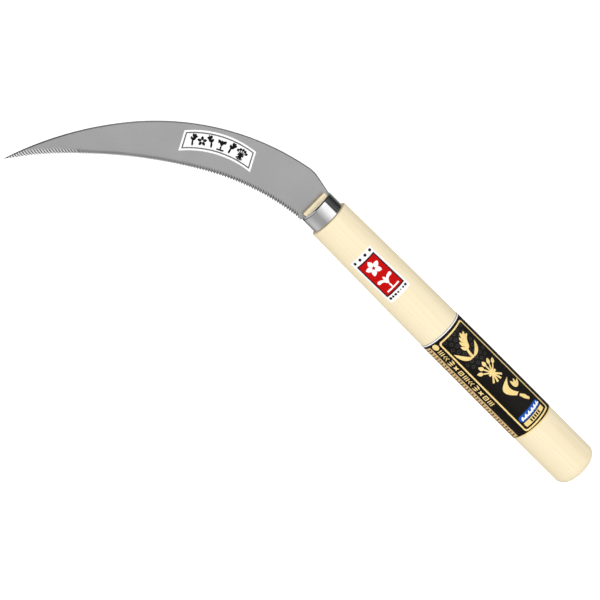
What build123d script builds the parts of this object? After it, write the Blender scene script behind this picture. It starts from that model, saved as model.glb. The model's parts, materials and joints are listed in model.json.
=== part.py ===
from build123d import *
import os
from math import asin, cos, degrees, radians, sin, tan

# Hand sickle: a sawn stainless blade whose tang is pinned in a turned wooden handle.
# The sickle is drawn in its own laid frame: the handle's axis is X with the shoulder behind the
# ferrule at X = 0, the blade lies in the XY plane and curves to +Y, and +Z is the sawn face.
# That frame is rolled about the handle until the blade's tip rests on the ground.

os.makedirs("parts", exist_ok=True)

# ---- driving dimensions, mm and degrees ----

# handle
handle_r = 15.0
handle_len = 225.5
shoulder_r = 13.5
shoulder_round = 0.8
taper_len = 180.0
taper_steps = 6
butt_round = 5.5
tongue_w, tongue_t = 17.7, 9.0
tongue_end = 13.6
tongue_round = 0.7
tongue_kerf = 1.0
tenon_chamfer = 0.4

# ferrule
ferrule_r = 11.6
ferrule_wall = 0.9
ferrule_len = 11.4
ferrule_front_round = 1.35
ferrule_rear_round = 0.4

# blade outline: the directions are those of the edge or the spine, measured from +X
blade_t = 1.2
tip_x, tip_y = 163.6, 110.7
edge_tip_r, edge_heel_r = 297.8, 157.8
edge_tip_dir, edge_join_dir = 52.7, 29.6
spine_tip_r, spine_back_r, heel_bend_r = 208.2, 164.4, 22.0
spine_tip_dir, spine_join_dir, spine_heel_dir = 71.7, 50.3, 10.8
heel_line_dir = -11.3
spine_chamfer_w = 0.8
spine_chamfer_t = 0.55

# ground bevel underneath, and saw grooves on top: flat and long near the tip, but steeper, deeper
# and short along the rest of the edge, with these distances from the tip along the handle
bevel_w = 6.0
edge_t = 0.45
tooth_pitch = 1.75
first_tooth_x = 14.2
groove_slant = 55.0
groove_tip_depth, groove_full_depth_at = 0.33, 10.0
flat_groove_depth, steep_groove_depth = 0.8, 0.95
flat_half_angle, steep_half_angle = 60.0, 45.0
steep_from = 30.0
groove_long, groove_short = 4.6, 3.0
groove_long_to, groove_short_from = 22.0, 38.0
groove_stop = 1.2
groove_lead, groove_tail = 1.5, 2.5
groove_h = 1.2

# tang and its pin
tang_w = 16.6
tang_neck = 14.0
tang_end_w = 9.0
tang_len = 62.0
pin_r = 1.3
pin_x = 24.0
pin_head_r = 2.3
pin_head_t = 0.9
pin_head_sink = 0.15
pin_depth = 7.0

# paper labels
paper_t = 0.12
glue_gap = 0.02
band_x, band_y = 76.6, 18.6
band_len, band_w = 44.8, 12.6
band_dir = 27.8
band_r = 60.0
sticker_x = 44.5
sticker_len = 35.0
sticker_half_angle = 35.5
sticker_angle = 10.3
sticker_skew = 1.6
wrap_front, wrap_rear = 97.5, 181.4
wrap_front_skew, wrap_rear_skew = 1.2, 2.8
wrap_seam = 0.5

# fits
press_gap = 0.02
slot_gap = 0.05

# how far the cutters run past what they cut
overrun = 1.0
past_tip = 1.0

# ---- the laid frame and the way it lies on the ground ----

lying_r = handle_r + glue_gap + paper_t
edge_under = blade_t / 2 - edge_t
lying_angle = degrees(asin((lying_r + edge_under) / tip_y))
lean_sin, lean_cos = sin(radians(lying_angle)), cos(radians(lying_angle))
reach_y = tip_y * lean_cos + blade_t / 2 * lean_sin
middle_x = (tip_x - handle_len) / 2
middle_y = (reach_y - lying_r) / 2

LAID = Plane(
    origin=(-middle_x, -middle_y, lying_r),
    x_dir=(1, 0, 0),
    z_dir=(0, lean_sin, lean_cos),
)
AXIS = Axis(LAID.origin, LAID.x_dir)
AXIS_UP = Axis(LAID.origin, LAID.z_dir)


def laid(x, y, z=0.0):
    """A point of the laid frame, in the model's frame."""
    return LAID.from_local_coords((x, y, z))


def laid_dir(x, y, z=0.0):
    """A direction of the laid frame, in the model's frame."""
    return LAID.from_local_coords((x, y, z)) - LAID.origin


def centre_of_arc(point, direction, radius):
    """Centre of the arc that passes point in this direction and bends to the left."""
    a = radians(direction)
    return (point[0] - radius * sin(a), point[1] + radius * cos(a))


def on_arc(centre, radius, direction):
    """The point of such an arc where it runs in this direction."""
    a = radians(direction)
    return (centre[0] + radius * sin(a), centre[1] - radius * cos(a))


def arc(centre, radius, start_dir, end_dir):
    """Such an arc as a line of the sketch, from one direction to the other."""
    return CenterArc(centre, radius, start_dir - 90, end_dir - start_dir)


def taper_r(x):
    """Radius of the handle's swelling front part at a distance x behind the shoulder."""
    return handle_r - (handle_r - shoulder_r) * (1 - x / taper_len) ** 2


def taper_line(start, height=0.0):
    """Points along the swelling part, from a distance behind the shoulder to its rear end."""
    step = (taper_len - start) / taper_steps
    places = [start + i * step for i in range(taper_steps + 1)]
    return [(-x, taper_r(x) + height) for x in places]


# ---- the blade's outline: arcs that run smoothly into each other ----

tip = (tip_x, tip_y)
edge_tip_c = centre_of_arc(tip, edge_tip_dir, edge_tip_r)
edge_join = on_arc(edge_tip_c, edge_tip_r, edge_join_dir)
edge_heel_c = centre_of_arc(edge_join, edge_join_dir, edge_heel_r)
edge_heel_dir = degrees(asin((ferrule_len - edge_heel_c[0]) / edge_heel_r))
edge_heel = on_arc(edge_heel_c, edge_heel_r, edge_heel_dir)

spine_tip_c = centre_of_arc(tip, spine_tip_dir, spine_tip_r)
spine_join = on_arc(spine_tip_c, spine_tip_r, spine_join_dir)
spine_back_c = centre_of_arc(spine_join, spine_join_dir, spine_back_r)
heel_join = on_arc(spine_back_c, spine_back_r, spine_heel_dir)
heel_bend_c = centre_of_arc(heel_join, spine_heel_dir, heel_bend_r)
heel_end = on_arc(heel_bend_c, heel_bend_r, heel_line_dir)
heel_rise = (heel_end[0] - ferrule_len) * tan(radians(heel_line_dir))
heel_corner = (ferrule_len, heel_end[1] - heel_rise)

# the bevel's climb, and the run of the saw grooves' V cutter, which starts outside the edge
bevel_rise = (blade_t - edge_t) / bevel_w
groove_run = groove_lead + (groove_long + groove_tail) / sin(radians(groove_slant))


def tang_outline(gap):
    """Points of the tang from one shoulder to the other, grown by a gap for the slot."""
    half, end_half = tang_w / 2 + gap, tang_end_w / 2 + gap
    return [
        (ferrule_len, half),
        (-tang_neck, half),
        (-tang_len - gap, end_half),
        (-tang_len - gap, -end_half),
        (-tang_neck, -half),
        (ferrule_len, -half),
    ]


def radial_plane(centre, direction):
    """Upright plane through an arc's centre: its X runs out to where the arc has this direction."""
    out = laid_dir(sin(radians(direction)), -cos(radians(direction)))
    return Plane(laid(*centre), x_dir=out, z_dir=out.cross(LAID.z_dir))


def groove_plane(centre, radius, direction):
    """Plane across one saw groove: its Z runs up the groove from outside the edge inwards."""
    edge_x, edge_y = on_arc(centre, radius, direction)
    away = tip_x - edge_x
    deep = min(1, away / groove_full_depth_at)
    depth = groove_tip_depth + (flat_groove_depth - groove_tip_depth) * deep
    if away > steep_from:
        depth = steep_groove_depth
    short = min(1, max(0, (away - groove_long_to) / (groove_short_from - groove_long_to)))
    reach = groove_long + (groove_short - groove_long) * short
    along = radians(direction - groove_slant)
    slope = depth * sin(radians(groove_slant)) / reach
    start = laid(
        edge_x - groove_lead * cos(along),
        edge_y - groove_lead * sin(along),
        blade_t / 2 - depth - groove_lead * slope,
    )
    run = laid_dir(cos(along), sin(along), slope)
    side = laid_dir(-sin(along), cos(along))
    return Plane(start, x_dir=side, z_dir=run)


def groove_planes():
    """Planes of the steep and of the flat saw grooves, a pitch apart from the heel to the tip."""
    steep, flat = [], []
    direction = degrees(asin((first_tooth_x - edge_heel_c[0]) / edge_heel_r))
    while direction < edge_join_dir:
        steep.append(groove_plane(edge_heel_c, edge_heel_r, direction))
        direction += degrees(tooth_pitch / edge_heel_r)
    direction = edge_join_dir + (direction - edge_join_dir) * edge_heel_r / edge_tip_r
    while direction < edge_tip_dir - degrees(groove_stop / edge_tip_r):
        away = tip_x - on_arc(edge_tip_c, edge_tip_r, direction)[0]
        family = steep if away > steep_from else flat
        family.append(groove_plane(edge_tip_c, edge_tip_r, direction))
        direction += degrees(tooth_pitch / edge_tip_r)
    return steep, flat


def spine_cut(radius):
    """Points of the spine chamfer's cutter, at the spine's distance from the centre of its arc."""
    return [
        (radius - spine_chamfer_w, blade_t / 2),
        (radius - spine_chamfer_w, blade_t / 2 + overrun),
        (radius + spine_chamfer_w, blade_t / 2 + overrun),
        (radius + spine_chamfer_w, blade_t / 2 - 2 * spine_chamfer_t),
    ]


# ---- blade: sheet with a pinned tang, sawn on its upper face and bevelled underneath ----

with BuildPart() as blade:
    with BuildSketch(LAID.offset(-blade_t / 2)):
        with BuildLine():
            arc(edge_tip_c, edge_tip_r, edge_join_dir, edge_tip_dir)
            arc(edge_heel_c, edge_heel_r, edge_heel_dir, edge_join_dir)
            Polyline(edge_heel, *tang_outline(0.0), heel_corner)
            Line(heel_corner, heel_end)
            arc(heel_bend_c, heel_bend_r, heel_line_dir, spine_heel_dir)
            arc(spine_back_c, spine_back_r, spine_heel_dir, spine_join_dir)
            arc(spine_tip_c, spine_tip_r, spine_join_dir, spine_tip_dir)
        make_face()
        with Locations((-pin_x, 0)):
            Circle(pin_r + press_gap, mode=Mode.SUBTRACT)
    extrude(amount=blade_t)
    for centre, radius, start, end in (
        (edge_tip_c, edge_tip_r, edge_join_dir, edge_tip_dir + past_tip),
        (edge_heel_c, edge_heel_r, edge_join_dir, edge_heel_dir),
    ):
        with BuildSketch(radial_plane(centre, start)):
            with BuildLine():
                Polyline(
                    (radius - overrun, edge_under + bevel_rise * overrun),
                    (radius - overrun, -blade_t / 2 - overrun),
                    (radius + bevel_w + overrun / bevel_rise, -blade_t / 2 - overrun),
                    close=True,
                )
            make_face()
        revolve(axis=Axis(laid(*centre), LAID.z_dir), revolution_arc=end - start, mode=Mode.SUBTRACT)
    for centre, radius, start, end in (
        (spine_tip_c, spine_tip_r, spine_join_dir, spine_tip_dir + past_tip),
        (spine_back_c, spine_back_r, spine_join_dir, spine_heel_dir),
        (heel_bend_c, heel_bend_r, spine_heel_dir, heel_line_dir),
    ):
        with BuildSketch(radial_plane(centre, start)):
            with BuildLine():
                Polyline(*spine_cut(radius), close=True)
            make_face()
        revolve(axis=Axis(laid(*centre), LAID.z_dir), revolution_arc=end - start, mode=Mode.SUBTRACT)
    with BuildSketch(radial_plane(heel_end, heel_line_dir)):
        with BuildLine():
            Polyline(*spine_cut(0), close=True)
        make_face()
    extrude(amount=heel_end[0] - ferrule_len + overrun, mode=Mode.SUBTRACT)
    for planes, half_angle in zip(groove_planes(), (steep_half_angle, flat_half_angle)):
        half_w = groove_h * tan(radians(half_angle))
        with BuildSketch(*planes):
            with BuildLine():
                Polyline((0, 0), (half_w, groove_h), (-half_w, groove_h), close=True)
            make_face()
        extrude(amount=groove_run, mode=Mode.SUBTRACT)
blade.part.label = "blade"
export_step(blade.part, "parts/blade.step")

# ---- handle: turned stick whose tenon ends in a flat tongue, with a sawn slot for the tang ----

tenon_r = ferrule_r - ferrule_wall - press_gap
tenon_end = ferrule_len - ferrule_wall - press_gap
slot_t = blade_t + 2 * slot_gap
kerf_start = tenon_end - tongue_kerf
pin_face = taper_r(pin_x) - pin_head_sink
pin_len = pin_face + pin_depth

# plane of the nail's head, on the plain side of the handle, with Z along the nail
PIN_PLANE = Plane(laid(-pin_x, 0, -pin_face), x_dir=LAID.x_dir, z_dir=LAID.z_dir)

with BuildPart() as handle:
    with BuildSketch(LAID):
        with BuildLine():
            Polyline(
                (tenon_end, 0),
                (tenon_end, tenon_r - tenon_chamfer),
                (tenon_end - tenon_chamfer, tenon_r),
                (0, tenon_r),
                (0, shoulder_r - shoulder_round),
            )
            RadiusArc(
                (0, shoulder_r - shoulder_round),
                (-shoulder_round, taper_r(shoulder_round)),
                -shoulder_round,
            )
            Polyline(*taper_line(shoulder_round), (butt_round - handle_len, handle_r))
            RadiusArc(
                (butt_round - handle_len, handle_r),
                (-handle_len, handle_r - butt_round),
                -butt_round,
            )
            Polyline((-handle_len, handle_r - butt_round), (-handle_len, 0), (tenon_end, 0))
        make_face()
    revolve(axis=AXIS)
    with BuildSketch(Plane(LAID.origin, x_dir=LAID.x_dir, z_dir=LAID.y_dir)):
        RectangleRounded(2 * tongue_end, tongue_t, tongue_round)
    extrude(amount=tongue_w / 2, both=True)
    with BuildSketch(LAID.offset(-slot_t / 2)):
        with BuildLine():
            Polyline(*tang_outline(slot_gap), close=True)
        make_face()
        with BuildLine():
            Polyline(
                (kerf_start, ferrule_r),
                (tongue_end + overrun, ferrule_r),
                (tongue_end + overrun, -ferrule_r),
                (kerf_start, -ferrule_r),
                close=True,
            )
        make_face()
    extrude(amount=slot_t, mode=Mode.SUBTRACT)
    with BuildSketch(PIN_PLANE):
        Circle(pin_head_r + press_gap)
    extrude(amount=pin_head_t + press_gap, mode=Mode.SUBTRACT)
    with BuildSketch(PIN_PLANE):
        Circle(pin_head_r + press_gap)
    extrude(amount=-overrun, mode=Mode.SUBTRACT)
    with BuildSketch(PIN_PLANE):
        Circle(pin_r + press_gap)
    extrude(amount=pin_len + press_gap, mode=Mode.SUBTRACT)
handle.part.label = "handle"
export_step(handle.part, "parts/handle.step")

# ---- ferrule: steel cap, closed in front but for the slot that the tongue comes through ----

ferrule_bore_r = ferrule_r - ferrule_wall
ferrule_inner_round = ferrule_front_round - ferrule_wall
ferrule_rear_end = press_gap + ferrule_rear_round

with BuildPart() as ferrule:
    with BuildSketch(LAID):
        with BuildLine():
            Polyline(
                (press_gap, ferrule_bore_r),
                (ferrule_len - ferrule_front_round, ferrule_bore_r),
            )
            RadiusArc(
                (ferrule_len - ferrule_front_round, ferrule_bore_r),
                (ferrule_len - ferrule_wall, ferrule_bore_r - ferrule_inner_round),
                ferrule_inner_round,
            )
            Polyline(
                (ferrule_len - ferrule_wall, ferrule_bore_r - ferrule_inner_round),
                (ferrule_len - ferrule_wall, 0),
                (ferrule_len, 0),
                (ferrule_len, ferrule_r - ferrule_front_round),
            )
            RadiusArc(
                (ferrule_len, ferrule_r - ferrule_front_round),
                (ferrule_len - ferrule_front_round, ferrule_r),
                -ferrule_front_round,
            )
            Line((ferrule_len - ferrule_front_round, ferrule_r), (ferrule_rear_end, ferrule_r))
            RadiusArc(
                (ferrule_rear_end, ferrule_r),
                (press_gap, ferrule_r - ferrule_rear_round),
                -ferrule_rear_round,
            )
            Line((press_gap, ferrule_r - ferrule_rear_round), (press_gap, ferrule_bore_r))
        make_face()
    revolve(axis=AXIS)
    with BuildSketch(Plane(laid(ferrule_len, 0), x_dir=LAID.y_dir, z_dir=LAID.x_dir)):
        Rectangle(tongue_w + 2 * press_gap, tongue_t + 2 * press_gap)
    extrude(amount=ferrule_wall + overrun, both=True, mode=Mode.SUBTRACT)
ferrule.part.label = "ferrule"
export_step(ferrule.part, "parts/ferrule.step")

# ---- tang pin: a nail driven from the plain side, through the tang and into the far wood ----

with BuildPart() as tang_pin:
    with BuildSketch(PIN_PLANE):
        Circle(pin_head_r)
    extrude(amount=pin_head_t)
    with BuildSketch(PIN_PLANE):
        Circle(pin_r)
    extrude(amount=pin_len)
    chamfer(tang_pin.faces().sort_by(AXIS_UP)[-1].edges(), pin_r / 2)
tang_pin.part.label = "tang_pin"
export_step(tang_pin.part, "parts/tang_pin.step")

# ---- paper labels, a glue line above what they are stuck to ----

with BuildPart() as blade_label:
    with BuildSketch(LAID.offset(blade_t / 2 + glue_gap)):
        with BuildLine(Location((band_x, band_y), band_dir)):
            RadiusArc((-band_len / 2, -band_w / 2), (band_len / 2, -band_w / 2), -band_r)
            Line((band_len / 2, -band_w / 2), (band_len / 2, band_w / 2))
            RadiusArc((band_len / 2, band_w / 2), (-band_len / 2, band_w / 2), band_r)
            Line((-band_len / 2, band_w / 2), (-band_len / 2, -band_w / 2))
        make_face()
    extrude(amount=paper_t)
blade_label.part.label = "blade_label"
export_step(blade_label.part, "parts/blade_label.step")

# the sticker: a rectangle of the paper layer that follows the swelling part
sticker_plane = Plane(LAID.origin, x_dir=LAID.x_dir, z_dir=LAID.z_dir)
sticker_plane = sticker_plane.rotated((-sticker_angle, 0, 0))
sticker_chord = 2 * taper_r(sticker_x) * sin(radians(sticker_half_angle))

with BuildPart() as handle_sticker:
    with BuildSketch(sticker_plane):
        with Locations(Location((-sticker_x, 0), sticker_skew)):
            Rectangle(sticker_len, sticker_chord)
    extrude(amount=handle_r + overrun)
    with BuildSketch(LAID):
        with BuildLine():
            Polyline(
                *taper_line(0, glue_gap),
                *reversed(taper_line(0, glue_gap + paper_t)),
                close=True,
            )
        make_face()
    revolve(axis=AXIS, mode=Mode.INTERSECT)
handle_sticker.part.label = "handle_sticker"
export_step(handle_sticker.part, "parts/handle_sticker.step")

# the long label: one turn of paper, cut a little askew, whose ends meet on the plain side
wrap_start, wrap_end = wrap_front - overrun, wrap_rear + overrun

with BuildPart() as handle_label:
    with BuildSketch(LAID):
        with BuildLine():
            Polyline(
                *taper_line(wrap_start, glue_gap),
                (-wrap_end, handle_r + glue_gap),
                (-wrap_end, lying_r),
                *reversed(taper_line(wrap_start, glue_gap + paper_t)),
                close=True,
            )
        make_face()
    revolve(axis=AXIS)
    for x, skew, keep in (
        (wrap_front, wrap_front_skew, Keep.BOTTOM),
        (wrap_rear, wrap_rear_skew, Keep.TOP),
    ):
        end_dir = laid_dir(cos(radians(skew)), -sin(radians(skew)))
        split(bisect_by=Plane(laid(-x, 0), z_dir=end_dir), keep=keep)
    with BuildSketch(Plane(laid(-wrap_rear / 2, 0), x_dir=LAID.x_dir, z_dir=LAID.z_dir)):
        Rectangle(2 * wrap_rear, wrap_seam)
    extrude(amount=-handle_r - overrun, mode=Mode.SUBTRACT)
handle_label.part.label = "handle_label"
export_step(handle_label.part, "parts/handle_label.step")
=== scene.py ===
import json
from math import atan2, cos, degrees, pi, radians, sin, sqrt, tan

import bmesh
import bpy
from mathutils import Matrix, Vector


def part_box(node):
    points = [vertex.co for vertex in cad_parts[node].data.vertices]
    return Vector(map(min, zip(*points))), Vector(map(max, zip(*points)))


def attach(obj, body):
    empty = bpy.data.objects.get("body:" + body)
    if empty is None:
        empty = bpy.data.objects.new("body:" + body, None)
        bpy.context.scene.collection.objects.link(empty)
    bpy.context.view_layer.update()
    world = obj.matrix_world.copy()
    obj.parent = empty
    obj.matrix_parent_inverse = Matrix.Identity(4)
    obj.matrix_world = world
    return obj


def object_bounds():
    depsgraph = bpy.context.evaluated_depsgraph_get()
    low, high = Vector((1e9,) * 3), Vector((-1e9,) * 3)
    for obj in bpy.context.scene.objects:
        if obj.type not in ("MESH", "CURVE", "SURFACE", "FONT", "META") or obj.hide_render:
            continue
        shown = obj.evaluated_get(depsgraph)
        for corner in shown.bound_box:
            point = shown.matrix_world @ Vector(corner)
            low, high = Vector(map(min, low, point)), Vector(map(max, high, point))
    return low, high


# Hand sickle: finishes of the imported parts, the printing on its three labels, floor, light and camera.
# The printing is drawn flat, in millimetres from the middle of each label, x to the right and y up
# as the label is read with the blade on top, and is then laid on the paper as a thin layer of ink.

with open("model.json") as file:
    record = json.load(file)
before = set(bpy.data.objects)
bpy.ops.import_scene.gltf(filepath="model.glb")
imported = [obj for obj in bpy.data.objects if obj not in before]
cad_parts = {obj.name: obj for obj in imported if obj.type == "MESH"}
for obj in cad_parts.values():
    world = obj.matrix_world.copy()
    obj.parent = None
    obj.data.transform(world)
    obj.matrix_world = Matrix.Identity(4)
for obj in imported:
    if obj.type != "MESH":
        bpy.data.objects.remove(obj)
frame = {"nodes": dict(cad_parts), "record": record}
cad_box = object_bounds()
nodes = frame["nodes"]
mounts = {mount["name"]: mount for mount in frame["record"]["mounts"]}

MM = 0.001

# ---- the sickle's own axes: along the handle to the blade, across to the cutting side, and up ----

butt = Vector(mounts["butt_end"]["pos_m"])
ALONG = -Vector(mounts["butt_end"]["axis"])
label_face = max(nodes["blade_label"].data.polygons, key=lambda face: face.area)
UP = label_face.normal.normalized()
if UP.z < 0:
    UP.negate()
ACROSS = UP.cross(ALONG)
SHOULDER = butt + ALONG * (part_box("ferrule")[0].x - butt.x)
BUTT_R = mounts["handle_rear"]["dims"]["r_mm"]

# the handle swells from the shoulder to its full radius; paper and glue lie on the wood
SHOULDER_R = 13.5
SWELL_LEN = 180.0
PAPER_H = 0.14


def laid(x, y, z):
    """A point of the row frame, from millimetres along, across and up from the shoulder's middle."""
    return SHOULDER + (ALONG * x + ACROSS * y + UP * z) * MM


def span(node, direction):
    """Lowest and highest place of a node along a direction from the shoulder, in millimetres."""
    places = [(vertex.co - SHOULDER).dot(direction) / MM for vertex in nodes[node].data.vertices]
    return min(places), max(places)


def middle(node, direction):
    """Middle of a node along a direction, in millimetres."""
    return sum(span(node, direction)) / 2


# ---- flat shapes: each is a list of faces, and each face a list of points ----


def turned(points, x, y, turn=0.0):
    """Points turned by some degrees and moved to a place."""
    c, s = cos(radians(turn)), sin(radians(turn))
    return [(x + px * c - py * s, y + px * s + py * c) for px, py in points]


def moved(shapes, x, y, turn=0.0):
    """Shapes turned and moved in the same way."""
    return [[turned(face, x, y, turn) for face in shape] for shape in shapes]


def oval(x, y, width, height, points=20):
    """An oval dot, or with four points a lozenge."""
    steps = [2 * pi * i / points for i in range(points)]
    return [[(x + width / 2 * cos(a), y + height / 2 * sin(a)) for a in steps]]


def grain(x, y, length, width, turn, points=8):
    """A plump grain or petal with its foot at (x, y), pointing along turn."""
    steps = [i / points for i in range(points + 1)]
    side = [(length * t, width / 2 * sin(pi * t**0.85) ** 0.8) for t in steps[1:-1]]
    outline = [(0, 0)] + [(px, -py) for px, py in side] + [(length, 0)] + side[::-1]
    return [turned(outline, x, y, turn)]


def bend(start, pull, end, steps=10):
    """Points of a curve from start to end that leans towards pull."""
    line = []
    for i in range(steps + 1):
        t = i / steps
        weights = ((1 - t) ** 2, 2 * t * (1 - t), t * t)
        line.append(tuple(sum(w * p[k] for w, p in zip(weights, (start, pull, end))) for k in (0, 1)))
    return line


def stroke(line, halves):
    """A stroke along a line of points, with its half width at each point."""
    left, right = [], []
    for i, ((x, y), half) in enumerate(zip(line, halves)):
        ahead, behind = line[min(i + 1, len(line) - 1)], line[max(i - 1, 0)]
        run = Vector((ahead[0] - behind[0], ahead[1] - behind[1])).normalized()
        left.append((x - run.y * half, y + run.x * half))
        right.append((x + run.y * half, y - run.x * half))
    return [right + left[::-1]]


# how wide a bent brush stroke's ends and a leaf's ends are, as a share of its width there
BRUSH_END = 0.55
LEAF_END = 0.04


def brush(line, first, last):
    """A stroke from one width to another; a bent one is narrower at its very ends."""
    count = len(line) - 1
    halves = [(first + (last - first) * i / count) / 2 for i in range(count + 1)]
    if count > 1:
        halves[0] *= BRUSH_END
        halves[-1] *= BRUSH_END
    return stroke(line, halves)


def leaf(line, width):
    """A stroke that is widest in the middle and pointed at both ends."""
    count = len(line) - 1
    return stroke(line, [width / 2 * (LEAF_END + sin(pi * i / count) ** 0.7) for i in range(count + 1)])


def rounded(x0, y0, x1, y1, radius, points=5):
    """Points round a rectangle with rounded corners."""
    corners = ((x1, y0, -90), (x1, y1, 0), (x0, y1, 90), (x0, y0, 180))
    outline = []
    for x, y, start in corners:
        cx = x - radius if x == x1 else x + radius
        cy = y - radius if y == y1 else y + radius
        for i in range(points + 1):
            a = radians(start + 90 * i / points)
            outline.append((cx + radius * cos(a), cy + radius * sin(a)))
    return outline


def ring(outer, inner):
    """A band between two outlines with as many points."""
    after = outer[1:] + outer[:1], inner[1:] + inner[:1]
    return [list(four) for four in zip(outer, after[0], after[1], inner)]


# ---- pictures for the labels ----


def ear(height, lean, pairs, grain_len, grain_w, stalk_w):
    """An ear of rice: a bowed stalk from (0, 0) with grains in pairs up to its tip."""
    line = bend((0, 0), (0, height * 0.65), (lean, height * 0.88), 4 * pairs)
    shapes = [brush(line, stalk_w, stalk_w * 0.6)]
    for i in range(pairs):
        place = line[len(line) - 2 - 3 * i]
        before = line[len(line) - 3 - 3 * i]
        heading = degrees(atan2(place[1] - before[1], place[0] - before[0]))
        for side in (-1, 1):
            shapes.append(grain(*place, grain_len, grain_w, heading + side * 38))
        if i == 0:
            shapes.append(grain(*place, grain_len * 1.05, grain_w, heading))
    return shapes


def sheaf(height, width):
    """A tied sheaf: stalks that fan out from a band, each with a grain on top."""
    knot = (0, -height * 0.1)
    shapes = []
    for turn in (-52, -26, 0, 26, 52):
        side, rise = sin(radians(turn)), cos(radians(turn))
        top = (side * height * 0.36, knot[1] + rise * height * 0.36)
        shapes.append(brush([knot, top], width * 0.5, width * 0.45))
        shapes.append(grain(*top, height * 0.25, width * 1.3, 90 - turn))
    for turn in (-38, -13, 13, 38):
        foot = (sin(radians(turn)) * height * 0.41, knot[1] - cos(radians(turn)) * height * 0.41)
        shapes.append(brush([knot, foot], width * 0.5, width * 0.7))
    shapes.append(brush([(-width * 1.5, knot[1]), (width * 1.5, knot[1])], width * 0.8, width * 0.8))
    return shapes


def blossom(size, petals, fill):
    """A flower of petals round an open middle, plump enough to fill some share of the round."""
    hub = size * 0.07
    shapes = []
    for i in range(petals):
        turn = 90 + 360 * i / petals
        foot = (hub * cos(radians(turn)), hub * sin(radians(turn)))
        shapes.append(grain(*foot, size / 2 - hub, size * fill * 1.6 / petals, turn))
    return shapes


def sprout(height, width, stem_w):
    """A young plant: two arched leaves on a short stem, over the soil's line."""
    top = (0, -height * 0.1)
    shapes = [brush([(0, -height * 0.42), (0, -height * 0.2), top], stem_w, stem_w * 0.7)]
    for side in (-1, 1):
        line = bend(top, (side * width * 0.1, height * 0.42), (side * width * 0.46, height * 0.3))
        shapes.append(brush(line, stem_w * 0.6, stem_w * 1.9))
    shapes.append(grain(0, 0, height * 0.5, stem_w * 1.7, 90))
    soil = [(-width * 0.4, -height * 0.46), (width * 0.4, -height * 0.46)]
    shapes.append(brush(soil, stem_w * 0.8, stem_w * 0.8))
    return shapes


def sickle_sign(size, line_w):
    """A plain pictogram of a sickle with its handle down, and three grains in its hollow."""
    tip = (0.14 * size, 0.5 * size)
    outer = bend((-0.08 * size, -0.12 * size), (-0.62 * size, 0.42 * size), tip, 12)
    inner = bend((0.04 * size, -0.08 * size), (-0.24 * size, 0.28 * size), tip, 12)
    handle = [(0.0, -0.17 * size), (0.08 * size, -0.32 * size), (0.16 * size, -0.5 * size)]
    shapes = [[outer + inner[-2::-1]], brush(handle, line_w * 1.7, line_w * 1.9)]
    for turn in (28, 62, 96):
        shapes.append(grain(0.12 * size, 0.05 * size, size * 0.3, line_w * 1.5, turn))
    return shapes


def small_mark(kind):
    """One of a few plain marks, four millimetres across, for the narrow column."""
    if kind == "bars":
        return [brush([(-1.8, y), (1.8, y)], 0.65, 0.65) for y in (-1.4, 0, 1.4)]
    if kind == "cross":
        return [grain(0, 0, 2.0, 1.1, turn) for turn in (45, 135, 225, 315)]
    if kind == "waves":
        return [brush([(-1.7, y - 0.7), (0, y + 0.6), (1.7, y - 0.7)], 0.75, 0.75) for y in (-0.8, 1.1)]
    if kind == "box":
        outer, inner = rounded(-1.8, -1.6, 1.8, 1.6, 0.5), rounded(-1.1, -0.9, 1.1, 0.9, 0.2)
        return [ring(outer, inner), oval(0, 0, 1, 0.8)]
    return [grain(x, -1.9, 3.6, 1.1, 90 - 9 * x) for x in (-1.4, 0, 1.4)]


# ---- laying the printing on the labels ----

# thickness of the ink, and how far above the paper its first and second layers start
INK_H = 0.02
INK_FIRST, INK_SECOND = 0.005, 0.03
# shapes that cross lie a hair apart, so that no two faces fall together
HAIR = 0.0004
WELD = 1e-4
# how often printing is cut across and along, so that it can bend round the handle
ROUND_CUTS = (1.0, 8.0)


def cut(flat, axis, step):
    """Cuts flat shapes across an axis, a step apart, so that they can bend with the paper."""
    places = [vertex.co[axis] for vertex in flat.verts]
    across = Vector((axis == 0, axis == 1, 0))
    for i in range(1, int((max(places) - min(places)) / step) + 1):
        every = flat.verts[:] + flat.edges[:] + flat.faces[:]
        here = across * (min(places) + i * step)
        bmesh.ops.bisect_plane(flat, geom=every, plane_co=here, plane_no=across, dist=WELD)


def printed(name, shapes, place, lift, material, cuts=()):
    """A layer of ink: flat shapes made thick and laid on the paper, cut up where the paper is round."""
    flat = bmesh.new()
    for i, shape in enumerate(shapes):
        for face in shape:
            flat.faces.new([flat.verts.new((x, y, i * HAIR)) for x, y in face])
    bmesh.ops.remove_doubles(flat, verts=flat.verts, dist=WELD)
    for axis, step in enumerate(cuts):
        cut(flat, axis, step)
    bmesh.ops.triangulate(flat, faces=flat.faces)
    lifted = bmesh.ops.extrude_face_region(flat, geom=flat.faces[:], use_keep_orig=True)["geom"]
    for part in lifted:
        if isinstance(part, bmesh.types.BMVert):
            part.co.z += INK_H
    for vertex in flat.verts:
        vertex.co = place(vertex.co.x, vertex.co.y, lift + vertex.co.z)
    bmesh.ops.recalc_face_normals(flat, faces=flat.faces)
    mesh = bpy.data.meshes.new(name)
    flat.to_mesh(mesh)
    flat.free()
    piece = bpy.data.objects.new(name, mesh)
    bpy.context.scene.collection.objects.link(piece)
    mesh.materials.append(material)
    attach(piece, "root")


def paper_r(along):
    """Radius of the paper's face round the handle, at a place along it from the shoulder."""
    swell = max(0.0, 1 + along / SWELL_LEN)
    return BUTT_R - (BUTT_R - SHOULDER_R) * swell**2 + PAPER_H


def round_place(node, turn=0.0, skew=0.0):
    """Places printing on a paper that is wrapped round the handle, turned some degrees from the top."""
    y0 = middle(node, ALONG)

    def place(x, y, height):
        (x, y), = turned([(x, y)], 0, 0, skew)
        along = y0 + y
        radius = paper_r(along) + height
        angle = radians(turn) - x / paper_r(y0)
        return laid(along, radius * sin(angle), radius * cos(angle))

    return place


# ---- materials ----


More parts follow.
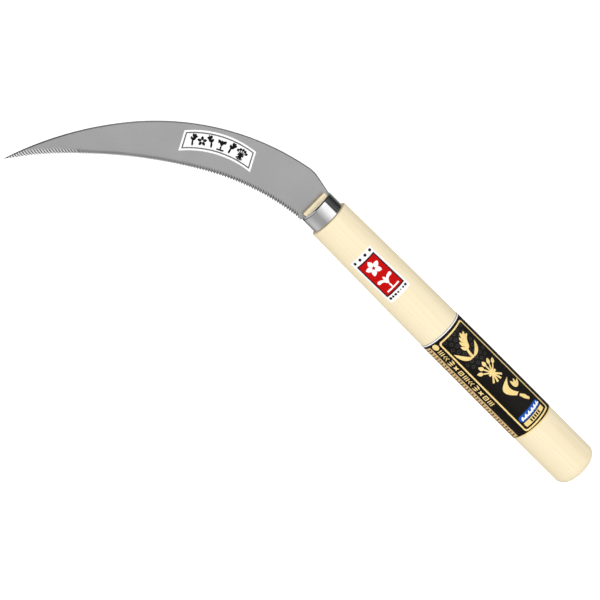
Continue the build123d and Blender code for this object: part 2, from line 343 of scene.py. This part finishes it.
def new_material(name):
    """A material with its node tree and its main shader."""
    material = bpy.data.materials.new(name)
    material.use_nodes = True
    return material, material.node_tree, material.node_tree.nodes["Principled BSDF"]


def add(tree, kind, values=None, **settings):
    """A shader node with its settings, its inputs set or linked."""
    made = tree.nodes.new("ShaderNode" + kind)
    for key, value in settings.items():
        setattr(made, key, value)
    for socket, value in (values or {}).items():
        if isinstance(value, bpy.types.NodeSocket):
            tree.links.new(value, made.inputs[socket])
        else:
            made.inputs[socket].default_value = value
    return made


def own_axes(tree, stretch=(1, 1, 1)):
    """Place on the sickle in metres along, across and up from the shoulder, stretched on each axis."""
    here = add(tree, "TexCoord").outputs["Object"]
    offset = add(tree, "VectorMath", {0: here, 1: SHOULDER}, operation="SUBTRACT").outputs[0]
    dots = [
        add(tree, "VectorMath", {0: offset, 1: axis * scale}, operation="DOT_PRODUCT").outputs["Value"]
        for axis, scale in zip((ALONG, ACROSS, UP), stretch)
    ]
    return add(tree, "CombineXYZ", {"X": dots[0], "Y": dots[1], "Z": dots[2]}).outputs[0]


def calc(tree, operation, a, b=0.0):
    """A math node's result."""
    return add(tree, "Math", {0: a, 1: b}, operation=operation).outputs[0]


def noise(tree, where, scale, detail=2.0, rough=0.5):
    """Noise from 0 to 1 at a place, with its scale in lumps to the metre."""
    values = {"Vector": where, "Scale": scale, "Detail": detail, "Roughness": rough}
    return add(tree, "TexNoise", values).outputs["Fac"]


def remap(tree, value, low, high, to_low=0.0, to_high=1.0):
    """A value taken from one range to another, and kept inside it."""
    values = {"Value": value, "From Min": low, "From Max": high, "To Min": to_low, "To Max": to_high}
    return add(tree, "MapRange", values).outputs["Result"]


def blend(tree, amount, first, second, kind="MIX"):
    """Two colours mixed by an amount."""
    mix = add(tree, "Mix", data_type="RGBA", blend_type=kind)
    for socket, value in ((mix.inputs[0], amount), (mix.inputs[6], first), (mix.inputs[7], second)):
        if isinstance(value, bpy.types.NodeSocket):
            tree.links.new(value, socket)
        else:
            socket.default_value = value
    return mix.outputs[2]


def bump(tree, shader, height, strength, distance):
    """Gives a shader its relief."""
    values = {"Height": height, "Strength": strength, "Distance": distance}
    tree.links.new(add(tree, "Bump", values).outputs["Normal"], shader.inputs["Normal"])


# the tree's pith, in metres across and up from the handle's axis, and its rings to the metre
PITH = (-0.034, 0.052)
RINGS = 430


def wood():
    """Pale, close-grained wood, turned and sanded: faint rings and fibres, darker on the ends."""
    material, tree, shader = new_material("pale_wood")
    place = own_axes(tree)
    slow = own_axes(tree, (0.12, 1, 1))
    fibre = own_axes(tree, (0.02, 1, 1))
    parts = add(tree, "SeparateXYZ", {0: place}).outputs
    pith_y = calc(tree, "ADD", parts[1], -PITH[0])
    pith_z = calc(tree, "ADD", parts[2], -PITH[1])
    squares = [calc(tree, "MULTIPLY", offset, offset) for offset in (pith_y, pith_z)]
    reach = calc(tree, "SQRT", calc(tree, "ADD", *squares))
    warp = calc(tree, "MULTIPLY", noise(tree, slow, scale=26, detail=3), 0.010)
    year = calc(tree, "FRACT", calc(tree, "MULTIPLY", calc(tree, "ADD", reach, warp), RINGS))
    late = remap(tree, year, 0.45, 1.0)
    strands = remap(tree, noise(tree, fibre, scale=1500, detail=3, rough=0.6), 0.3, 0.7)
    pores = remap(tree, noise(tree, fibre, scale=2600, detail=1), 0.66, 0.76)
    patches = remap(tree, noise(tree, slow, scale=60), 0.3, 0.7)
    colour = blend(tree, patches, (0.905, 0.805, 0.575, 1), (0.880, 0.760, 0.520, 1))
    colour = blend(tree, calc(tree, "MULTIPLY", late, 0.30), colour, (0.800, 0.655, 0.400, 1))
    colour = blend(tree, calc(tree, "MULTIPLY", strands, 0.16), colour, (0.800, 0.665, 0.420, 1))
    colour = blend(tree, calc(tree, "MULTIPLY", pores, 0.16), colour, (0.600, 0.450, 0.260, 1))
    facing = add(tree, "SeparateXYZ", {0: add(tree, "NewGeometry").outputs["Normal"]}).outputs[0]
    ends = remap(tree, calc(tree, "ABSOLUTE", facing), 0.75, 0.95)
    dots = remap(tree, noise(tree, place, scale=2200), 0.45, 0.75)
    late_share = calc(tree, "MULTIPLY", late, 0.5)
    end_colour = blend(tree, late_share, (0.80, 0.67, 0.44, 1), (0.62, 0.47, 0.27, 1))
    end_colour = blend(tree, calc(tree, "MULTIPLY", dots, 0.3), end_colour, (0.50, 0.37, 0.2, 1))
    tree.links.new(blend(tree, ends, colour, end_colour), shader.inputs["Base Color"])
    rough = remap(tree, strands, 0, 1, 0.50, 0.62)
    tree.links.new(rough, shader.inputs["Roughness"])
    shader.inputs["Specular IOR Level"].default_value = 0.3
    bump(tree, shader, calc(tree, "SUBTRACT", strands, pores), 0.25, 0.00004)
    return material


def satin_steel():
    """Stainless sheet with a fine, even satin finish and a few hairlines along the handle's axis."""
    material, tree, shader = new_material("satin_stainless")
    place = own_axes(tree)
    hairs = own_axes(tree, (0.04, 1, 1))
    satin = noise(tree, place, scale=1300, detail=3, rough=0.7)
    cloud = noise(tree, place, scale=45, detail=3)
    lines = noise(tree, hairs, scale=3200)
    tone = calc(tree, "ADD", calc(tree, "MULTIPLY", satin, 0.5), calc(tree, "MULTIPLY", cloud, 0.5))
    colour = blend(tree, remap(tree, tone, 0.35, 0.65), (0.455, 0.455, 0.457, 1), (0.522, 0.522, 0.522, 1))
    tree.links.new(colour, shader.inputs["Base Color"])
    shader.inputs["Metallic"].default_value = 1.0
    tree.links.new(remap(tree, tone, 0.3, 0.7, 0.33, 0.43), shader.inputs["Roughness"])
    bump(tree, shader, calc(tree, "ADD", satin, calc(tree, "MULTIPLY", lines, 0.4)), 0.12, 0.00003)
    return material


def plated_steel():
    """Bright plating with faint turning lines round it and soft handling smears."""
    material, tree, shader = new_material("plated_steel")
    place = own_axes(tree)
    round_lines = noise(tree, own_axes(tree, (1, 0.03, 0.03)), scale=2600)
    smears = noise(tree, place, scale=160, detail=3)
    colour = blend(tree, remap(tree, smears, 0.35, 0.65), (0.76, 0.76, 0.77, 1), (0.84, 0.84, 0.84, 1))
    tree.links.new(colour, shader.inputs["Base Color"])
    shader.inputs["Metallic"].default_value = 1.0
    tree.links.new(remap(tree, smears, 0.3, 0.7, 0.07, 0.15), shader.inputs["Roughness"])
    bump(tree, shader, round_lines, 0.05, 0.00002)
    return material


def nail_steel():
    """Dull drawn wire, a little mottled."""
    material, tree, shader = new_material("nail_steel")
    mottle = noise(tree, own_axes(tree), scale=900, detail=3)
    colour = blend(tree, remap(tree, mottle, 0.3, 0.7), (0.36, 0.35, 0.34, 1), (0.52, 0.51, 0.50, 1))
    tree.links.new(colour, shader.inputs["Base Color"])
    shader.inputs["Metallic"].default_value = 1.0
    tree.links.new(remap(tree, mottle, 0.3, 0.7, 0.35, 0.55), shader.inputs["Roughness"])
    bump(tree, shader, mottle, 0.3, 0.00003)
    return material


def paper(name, colour, shade, roughness, gloss=0.3, grain_depth=0.00002):
    """Coated label paper or printing ink: a faint mottle and a fine, flat tooth."""
    material, tree, shader = new_material(name)
    place = own_axes(tree)
    mottle = noise(tree, place, scale=700, detail=3, rough=0.6)
    tooth = noise(tree, place, scale=3500)
    amount = remap(tree, mottle, 0.3, 0.7)
    tree.links.new(blend(tree, amount, (*colour, 1), (*shade, 1)), shader.inputs["Base Color"])
    tree.links.new(remap(tree, tooth, 0.3, 0.7, roughness, roughness + 0.08), shader.inputs["Roughness"])
    shader.inputs["Specular IOR Level"].default_value = gloss
    bump(tree, shader, tooth, 0.15, grain_depth)
    return material


# ---- the blade's label: a curved band with a grey line inside its edge and six small pictures, three of them ears ----

# the band's slant to the handle in degrees, the radius of its bow, and the place of its line and pictures
BAND_DIR = 27.8
BAND_BOW_R = 60.0
BAND_INSET, BAND_LINE = 1.2, 0.8
BAND_PICTURES_X = (-16.3, -10.5, -4.6, 1.3, 7.0, 14.2)
BAND_FOOT, BAND_PICTURE_MID = -3.2, 2.9


def small_ear(lean):
    """A small ear of rice that leans to one side."""
    return ear(height=5.9, lean=lean, pairs=2, grain_len=2.6, grain_w=1.6, stalk_w=1.3)


def blade_label_print(black, grey):
    """The printing on the blade's label."""
    along = ALONG * cos(radians(BAND_DIR)) + ACROSS * sin(radians(BAND_DIR))
    across = ACROSS * cos(radians(BAND_DIR)) - ALONG * sin(radians(BAND_DIR))
    low, high = span("blade_label", across)
    half_len = (span("blade_label", along)[1] - span("blade_label", along)[0]) / 2
    bow = BAND_BOW_R - sqrt(BAND_BOW_R**2 - half_len**2)
    half_w = (high - low - bow) / 2
    top = span("blade_label", UP)[1]
    mid_along, mid_across = middle("blade_label", along), high - half_w

    def flat(x, y, height):
        return SHOULDER + (along * (mid_along - x) + across * (mid_across - y) + UP * (top + height)) * MM

    def arch(x):
        return sqrt(BAND_BOW_R**2 - x * x) - BAND_BOW_R + bow

    def outline(inset, points=18):
        reach = half_len - inset
        xs = [reach * (2 * i / points - 1) for i in range(points + 1)]
        lower = [(x, arch(x) - half_w + inset) for x in xs]
        upper = [(x, arch(x) + half_w - inset) for x in reversed(xs)]
        return lower + upper

    line = ring(outline(BAND_INSET), outline(BAND_INSET + BAND_LINE))
    printed("blade_label_line", [line], flat, INK_FIRST, grey)

    pictures = [
        small_ear(1.4),
        moved(blossom(6.3, 5, 0.9), 0, BAND_PICTURE_MID),
        small_ear(-1.4),
        moved(sprout(6.2, 5.6, 1.3), 0, BAND_PICTURE_MID),
        small_ear(1.4),
        moved(sheaf(7.4, 1.35), 0, BAND_PICTURE_MID),
    ]
    shapes = []
    for x, picture in zip(BAND_PICTURES_X, pictures):
        lean = -degrees(x / BAND_BOW_R)
        shapes += moved(moved(picture, 0, BAND_FOOT), x, arch(x), lean)
    printed("blade_label_pictures", shapes, flat, INK_FIRST, black)


# ---- the sticker: a red panel in a dark line with two white plants, dots above and marks below ----

# how far the sticker is turned from the top and askew, in degrees, and the red panel with its line
STICKER_TURN, STICKER_SKEW = 10.3, 1.5
PANEL_W, PANEL_H = 14.8, 26.2
PANEL_LINE = 0.85
FLOWER_AT, SPROUT_AT = (0.2, 6.1), (0.2, -6.2)
# the row of dots in front of the panel and the row of marks behind it
DOTS_Y, DOTS_X, DOT = 15.5, (-6.4, -2.05, 2.3, 6.65), 1.95
MARKS_Y, MARKS_MID_X, MARKS_PITCH = -14.95, 0.1, 2.1
MARK_SIZES = (1.9, 1.9, 1.6, 1.35, 1.1, 1.35, 1.75)


def sticker_print(red, dark, white):
    """The printing on the small sticker."""
    place = round_place("handle_sticker", STICKER_TURN, STICKER_SKEW)
    w, h = PANEL_W / 2, PANEL_H / 2
    edge = rounded(-w, -h, w, h, 0.2)
    inside = rounded(PANEL_LINE - w, PANEL_LINE - h, w - PANEL_LINE, h - PANEL_LINE, 0.15)
    printed("sticker_panel", [[inside]], place, INK_FIRST, red, ROUND_CUTS)
    printed("sticker_line", [ring(edge, inside)], place, INK_FIRST, dark, ROUND_CUTS)
    plants = moved(blossom(10.4, 5, 0.95), *FLOWER_AT) + moved(sprout(9.6, 11.8, 1.3), *SPROUT_AT)
    printed("sticker_plants", plants, place, INK_SECOND, white, ROUND_CUTS)
    marks = [oval(x, DOTS_Y, DOT, DOT) for x in DOTS_X]
    for i, size in enumerate(MARK_SIZES):
        x = MARKS_PITCH * (i - 3) + MARKS_MID_X
        marks.append(oval(x, MARKS_Y, size, size, 4 if i % 3 == 1 else 12))
    printed("sticker_marks", marks, place, INK_FIRST, dark, ROUND_CUTS)


# ---- the long label: black with a gold frame, three pictures, a blue and a gold bar and side columns ----

# the frame: left, bottom, right and top of its outline, its line's width and its two corner radii
FRAME = (-7.7, -40.3, 15.8, 39.3)
FRAME_LINE = 1.1
FRAME_OUTER_R, FRAME_INNER_R = 2.0, 1.5

# the grey rings behind the front pictures
RING_FIRST_X, RING_FIRST_Y, RING_LAST_X = -4.0, 36.8, 12.6
RING_ROWS, RING_COLUMNS = 8, 5
RING_STEP_X, RING_STEP_Y = 3.9, 3.3
RING_W, RING_HOLE, RING_POINTS = 2.2, 1.5, 14
RING_LIFT = -0.6 * INK_H

# places of the three pictures: the ear with its two leaves, the sheaf and the sickle
EAR_AT, LEFT_LEAF_AT, RIGHT_LEAF_AT = (2.2, 17.8), (2.0, 18.2), (2.4, 18.2)
SHEAF_AT, SICKLE_AT = (3.75, 4.0), (6.25, -16.6)

# the blue bar with its pairs of leaves, each with its foot, length, width and turn, and the gold bar
BLUE_BAR, BLUE_BAR_R = (-5.5, -34.2, 12.5, -29.8), 2.0
GOLD_BAR, GOLD_BAR_R = (-4.9, -38.0, 12.2, -34.8), 0.5
LEAF_PAIRS, LEAF_STEP = 6, 2.75
LEAF_PAIR = ((-4.0, -33.6, 3.2, 1.5, 62), (-3.0, -32.9, 2.0, 1.2, 10))
TICKS_X, TICK_LOW, TICK_HIGH, TICK_W = (0.2, 2.0, 3.8, 5.6, 7.4), -37.5, -35.3, 1.1

# the column of marks and the strip of dashes beside the frame
COLUMN_DOT_AT, COLUMN_DOT = (-11.1, 38.1), 4.5
COLUMN_X, COLUMN_FIRST_Y, COLUMN_STEP, COLUMN_MARKS = -11.15, 33.1, 4.47, 11
MARK_KINDS = ("bars", "waves", "ear", "cross", "box")
STRIP, STRIP_R = (-23.5, -39.8, -14.8, 39.8), 0.4
DASH_ROWS, DASH_FIRST_Y, DASH_STEP = 34, 38.4, 2.3

# the thin lines along the paper's ends, which are cut a little askew
LABEL_END, END_LINE = 41.55, 0.8
FRONT_SKEW, REAR_SKEW = 1.2, 2.8
END_HALF_W, END_STEP = 24, 2


def label_frame():
    """The frame's line."""
    left, bottom, right, top = FRAME
    inside = left + FRAME_LINE, bottom + FRAME_LINE, right - FRAME_LINE, top - FRAME_LINE
    return [ring(rounded(*FRAME, FRAME_OUTER_R), rounded(*inside, FRAME_INNER_R))]


def label_pictures():
    """An ear of rice between two leaves, a tied sheaf, and a sickle."""
    big_ear = ear(height=14.6, lean=4.6, pairs=4, grain_len=4.6, grain_w=2.1, stalk_w=1.7)
    left_leaf = leaf(bend((0, 0), (-4.6, 1.0), (-7.4, 9.4)), 2.6)
    right_leaf = leaf(bend((0, 0), (5.4, 0.2), (8.6, 6.2)), 2.4)
    shapes = moved(big_ear, *EAR_AT)
    shapes += moved([left_leaf], *LEFT_LEAF_AT) + moved([right_leaf], *RIGHT_LEAF_AT)
    return shapes + moved(sheaf(16.0, 1.9), *SHEAF_AT) + moved(sickle_sign(20.0, 1.5), *SICKLE_AT)


def label_rings():
    """Rows of small rings, each row half a step beside the one above it."""
    shapes = []
    for row in range(RING_ROWS):
        y = RING_FIRST_Y - RING_STEP_Y * row
        for column in range(RING_COLUMNS):
            x = RING_FIRST_X + RING_STEP_X * (column + row % 2 / 2)
            if x < RING_LAST_X:
                outer, = oval(x, y, RING_W, RING_W, RING_POINTS)
                inner, = oval(x, y, RING_HOLE, RING_HOLE, RING_POINTS)
                shapes.append(ring(outer, inner))
    return shapes


def bar_leaves():
    """Leaves in pairs, one steep and one low."""
    shapes = []
    for i in range(LEAF_PAIRS):
        for x, y, length, width, turn in LEAF_PAIR:
            shapes.append(grain(x + LEAF_STEP * i, y, length, width, turn))
    return shapes


def column_marks():
    """A dot with plain marks under it."""
    shapes = [oval(*COLUMN_DOT_AT, COLUMN_DOT, COLUMN_DOT)]
    for i in range(COLUMN_MARKS):
        mark = small_mark(MARK_KINDS[i % len(MARK_KINDS)])
        shapes += moved(mark, COLUMN_X, COLUMN_FIRST_Y - COLUMN_STEP * i)
    return shapes


def side_dashes():
    """Two rows of uneven dashes."""
    shapes = []
    for i in range(DASH_ROWS):
        y = DASH_FIRST_Y - DASH_STEP * i
        shapes.append(brush([(-15.6 - 0.4 * (i % 3), y), (-17.6 - 0.6 * (i % 2), y - 0.5)], 0.8, 0.7))
        shapes.append(brush([(-18.6, y - 0.9), (-21.8 + 0.5 * (i % 3), y - 0.4)], 0.9, 0.7))
    return shapes


def end_line(y, skew):
    """A line along one end of the paper, straight round the handle but for the skew."""
    line = []
    for x in range(-END_HALF_W, END_HALF_W + 1, END_STEP):
        line.append((x, y - BUTT_R * sin(x / BUTT_R) * tan(radians(skew))))
    return [stroke(line, [END_LINE / 2] * len(line))]


def long_label_print(gold, shaded_gold, ring_grey, blue, white, dark):
    """The printing on the long black label."""
    place = round_place("handle_label")
    ticks = [brush([(x, TICK_LOW), (x, TICK_HIGH)], TICK_W, TICK_W) for x in TICKS_X]
    for name, shapes, lift, ink in (
        ("label_frame", label_frame(), INK_FIRST, gold),
        ("label_pictures", label_pictures(), INK_FIRST, gold),
        ("label_rings", label_rings(), RING_LIFT, ring_grey),
        ("label_blue_bar", [[rounded(*BLUE_BAR, BLUE_BAR_R)]], INK_FIRST, blue),
        ("label_bar_leaves", bar_leaves(), INK_SECOND, white),
        ("label_gold_bar", [[rounded(*GOLD_BAR, GOLD_BAR_R)]], INK_FIRST, gold),
        ("label_bar_ticks", ticks, INK_SECOND, dark),
        ("label_column", column_marks(), INK_FIRST, gold),
        # the side strip takes the darker gold ink, whose darkness is painted shade
        ("label_side_strip", [[rounded(*STRIP, STRIP_R)]], INK_FIRST, shaded_gold),
        ("label_side_dashes", side_dashes(), INK_SECOND, dark),
        ("label_front_line", end_line(LABEL_END, FRONT_SKEW), INK_FIRST, white),
        ("label_rear_line", end_line(-LABEL_END, REAR_SKEW), INK_FIRST, gold),
    ):
        printed(name, shapes, place, lift, ink, ROUND_CUTS)


# ---- floor, light and camera ----

# the floor's width, and how much of itself it shows and sends to the sickle
FLOOR_SIDE = 6.0
FLOOR_SHOWN, FLOOR_GLOW = 0.8, 0.2

# what matt surfaces see all round, and what polished ones see round the handle's axis: brightness at
# some degrees from straight up, counted towards the cutting side
ROOM = 0.64
ROOM_ROUND = (
    (-180, 0.05), (-150, 0.35), (-125, 0.05), (-100, 0.02), (-92, 0.10), (-84, 0.03), (-75, 0.14),
    (-59, 0.02), (-50, 1.30), (-20, 1.15), (0, 0.80), (30, 0.42), (60, 0.42), (105, 0.66), (140, 0.40),
    (160, 0.06), (180, 0.02),
)
BEHIND_SPINE, BEHIND_CUT = 0.9, 0.03

# a light over the whole sickle, its way off in metres of the frame, and one that the grooves near the
# tip mirror, its target and its way off in millimetres along, across and up
KEY_AWAY, KEY_SIZE, KEY_POWER = (0.1, 0.3, 1.6), 0.9, 15
TEETH_AT, TEETH_AWAY = (156, 101, 0), (-70, -207.5, 117.5)
TEETH_SIZE, TEETH_POWER, TEETH_SPREAD = 0.12, 0.0105, 50

# the camera: what it looks at along and across, how far off, and its tilt to the blade and turn
LENS, SENSOR = 118.62, 36.0
CAMERA_AT = (-23.31, 47.15)
CAMERA_FAR = 1198.0
CAMERA_TILT = 12.0
CAMERA_TURN = 135.45
CAMERA_SHIFT = -1 / 1200
CLIP_NEAR, CLIP_FAR = 0.05, 20.0


def make_floor():
    """A wide pale floor that also glows a little, as a lit table does."""
    mesh = bpy.data.meshes.new("floor")
    half, z = FLOOR_SIDE / 2, cad_box[0].z
    corners = [(-half, -half, z), (half, -half, z), (half, half, z), (-half, half, z)]
    mesh.from_pydata(corners, [], [(0, 1, 2, 3)])
    floor = bpy.data.objects.new("floor", mesh)
    bpy.context.scene.collection.objects.link(floor)
    material, tree, shader = new_material("floor")
    shader.inputs["Base Color"].default_value = (0.7, 0.7, 0.7, 1)
    shader.inputs["Roughness"].default_value = 1.0
    shader.inputs["Specular IOR Level"].default_value = 0.0
    shader.inputs["Emission Color"].default_value = (1, 1, 1, 1)
    seen = add(tree, "LightPath").outputs["Is Camera Ray"]
    glow = remap(tree, seen, 0, 1, FLOOR_GLOW, FLOOR_SHOWN)
    tree.links.new(glow, shader.inputs["Emission Strength"])
    mesh.materials.append(material)
    floor.visible_glossy = False


def grey(level):
    """A grey as a colour with full cover."""
    return level, level, level, 1


def room_round(tree, side, height):
    """What polished metal sees round the handle's axis."""
    angle = calc(tree, "ARCTAN2", side, height)
    ramp = add(tree, "ValToRGB", {0: remap(tree, angle, -pi, pi)})
    stops = ramp.color_ramp.elements
    stops[0].position, stops[1].position = 0.0, 1.0
    for _ in ROOM_ROUND[2:]:
        stops.new(0.5)
    for stop, (turn, level) in zip(stops, ROOM_ROUND):
        stop.position = (turn + 180) / 360
        stop.color = grey(level)
    return ramp.outputs["Color"]


def make_world():
    """Even studio surroundings for matt surfaces, and a room with bright and dark sides for polished ones."""
    world = bpy.data.worlds.new("studio")
    bpy.context.scene.world = world
    world.use_nodes = True
    tree = world.node_tree
    shader = tree.nodes["Background"]
    direction = add(tree, "TexCoord").outputs["Generated"]
    ahead, side, height = [
        add(tree, "VectorMath", {0: direction, 1: axis}, operation="DOT_PRODUCT").outputs["Value"]
        for axis in (ALONG, ACROSS, UP)
    ]
    # dark far ahead of the blade
    not_ahead = remap(tree, ahead, 0.55, 0.78, 1.0, 0.0)
    seen = blend(tree, 1.0, room_round(tree, side, height), not_ahead, "MULTIPLY")
    # on the cutting side dark at first and lighter further ahead, so that the grooves show along the edge
    cutting_side = remap(tree, side, 0.25, 0.45)
    dark_side = calc(tree, "MULTIPLY", cutting_side, remap(tree, ahead, -0.14, 0.0))
    seen = blend(tree, dark_side, seen, remap(tree, ahead, 0.1, 0.5, 0.02, 0.7))
    # far behind, bright on the spine's side and dark on the other
    behind = remap(tree, ahead, -0.35, -0.50)
    two_sides = blend(tree, remap(tree, side, -0.05, 0.2), grey(BEHIND_SPINE), grey(BEHIND_CUT))
    seen = blend(tree, behind, seen, two_sides)
    glossy = add(tree, "LightPath").outputs["Is Glossy Ray"]
    tree.links.new(blend(tree, glossy, grey(ROOM), seen), shader.inputs["Color"])
    shader.inputs["Strength"].default_value = 1.0


def area_light(name, target, away, size, power, spread=180, mirrored=False):
    """A square light that looks at a target; a mirrored one is only seen in metal. Spread is in degrees."""
    light = bpy.data.lights.new(name, "AREA")
    light.shape = "SQUARE"
    light.size = size
    light.energy = power
    light.spread = radians(spread)
    lamp = bpy.data.objects.new(name, light)
    bpy.context.scene.collection.objects.link(lamp)
    lamp.location = target + away
    lamp.rotation_euler = (-away).to_track_quat("-Z", "Y").to_euler()
    lamp.visible_glossy = mirrored
    lamp.visible_diffuse = not mirrored
    lamp.visible_camera = False


def make_camera():
    """A long lens nearly overhead, tilted a little to the blade, with the handle down to the right."""
    back = (UP + ALONG * tan(radians(CAMERA_TILT))).normalized()
    along = (ALONG - back * ALONG.dot(back)).normalized()
    across = back.cross(along)
    c, s = cos(radians(CAMERA_TURN)), sin(radians(CAMERA_TURN))
    right, up = along * c - across * s, along * s + across * c
    camera = bpy.data.objects.new("camera", bpy.data.cameras.new("camera"))
    bpy.context.scene.collection.objects.link(camera)
    camera.data.lens, camera.data.sensor_width = LENS, SENSOR
    camera.data.shift_x, camera.data.shift_y = CAMERA_SHIFT, -CAMERA_SHIFT
    camera.data.clip_start, camera.data.clip_end = CLIP_NEAR, CLIP_FAR
    turn = Matrix((right, up, back)).transposed().to_4x4()
    camera.matrix_world = Matrix.Translation(laid(*CAMERA_AT, 0) + back * CAMERA_FAR * MM) @ turn
    bpy.context.scene.camera = camera


def finish_nodes(finishes):
    """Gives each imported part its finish."""
    for node, material in finishes.items():
        for slot in nodes[node].material_slots:
            slot.material = material


# ---- the finishes, and everything put together ----

white_paper = paper("white_paper", (0.92, 0.92, 0.92), (0.88, 0.88, 0.88), 0.42)
black_paper = paper("black_paper", (0.010, 0.009, 0.007), (0.006, 0.005, 0.004), 0.42, 0.12, 0.00004)
black_ink = paper("black_ink", (0.004, 0.004, 0.004), (0.006, 0.006, 0.006), 0.45, 0.08)
navy_ink = paper("navy_ink", (0.010, 0.004, 0.010), (0.014, 0.005, 0.012), 0.45, 0.10)
grey_ink = paper("grey_ink", (0.10, 0.10, 0.10), (0.14, 0.14, 0.14), 0.45, 0.15)
ring_ink = paper("ring_ink", (0.050, 0.048, 0.044), (0.040, 0.038, 0.034), 0.36, 0.2)
white_ink = paper("white_ink", (0.94, 0.94, 0.94), (0.90, 0.90, 0.90), 0.42)
red_ink = paper("red_ink", (0.56, 0.003, 0.003), (0.48, 0.002, 0.002), 0.42, 0.08)
blue_ink = paper("blue_ink", (0.010, 0.095, 0.48), (0.008, 0.075, 0.40), 0.40, 0.2)
gold_ink = paper("gold_ink", (0.95, 0.73, 0.32), (0.84, 0.60, 0.22), 0.36)
# painted shade: a darker copy of the gold ink, for the side strip that lies on the handle's shaded side
shaded_gold_ink = paper("shaded_gold_ink", (0.78, 0.55, 0.26), (0.58, 0.38, 0.16), 0.40, 0.15)

finish_nodes({
    "blade": satin_steel(),
    "handle": wood(),
    "ferrule": plated_steel(),
    "tang_pin": nail_steel(),
    "blade_label": white_paper,
    "handle_sticker": white_paper,
    "handle_label": black_paper,
})
blade_label_print(black_ink, grey_ink)
sticker_print(red_ink, navy_ink, white_ink)
long_label_print(gold_ink, shaded_gold_ink, ring_ink, blue_ink, white_ink, black_ink)
make_floor()
make_world()
area_light("key_light", (cad_box[0] + cad_box[1]) / 2, Vector(KEY_AWAY), KEY_SIZE, KEY_POWER)
teeth_away = laid(*TEETH_AWAY) - SHOULDER
area_light("teeth_light", laid(*TEETH_AT), teeth_away, TEETH_SIZE, TEETH_POWER, TEETH_SPREAD, mirrored=True)
make_camera()
bpy.context.scene.view_settings.view_transform = "Standard"
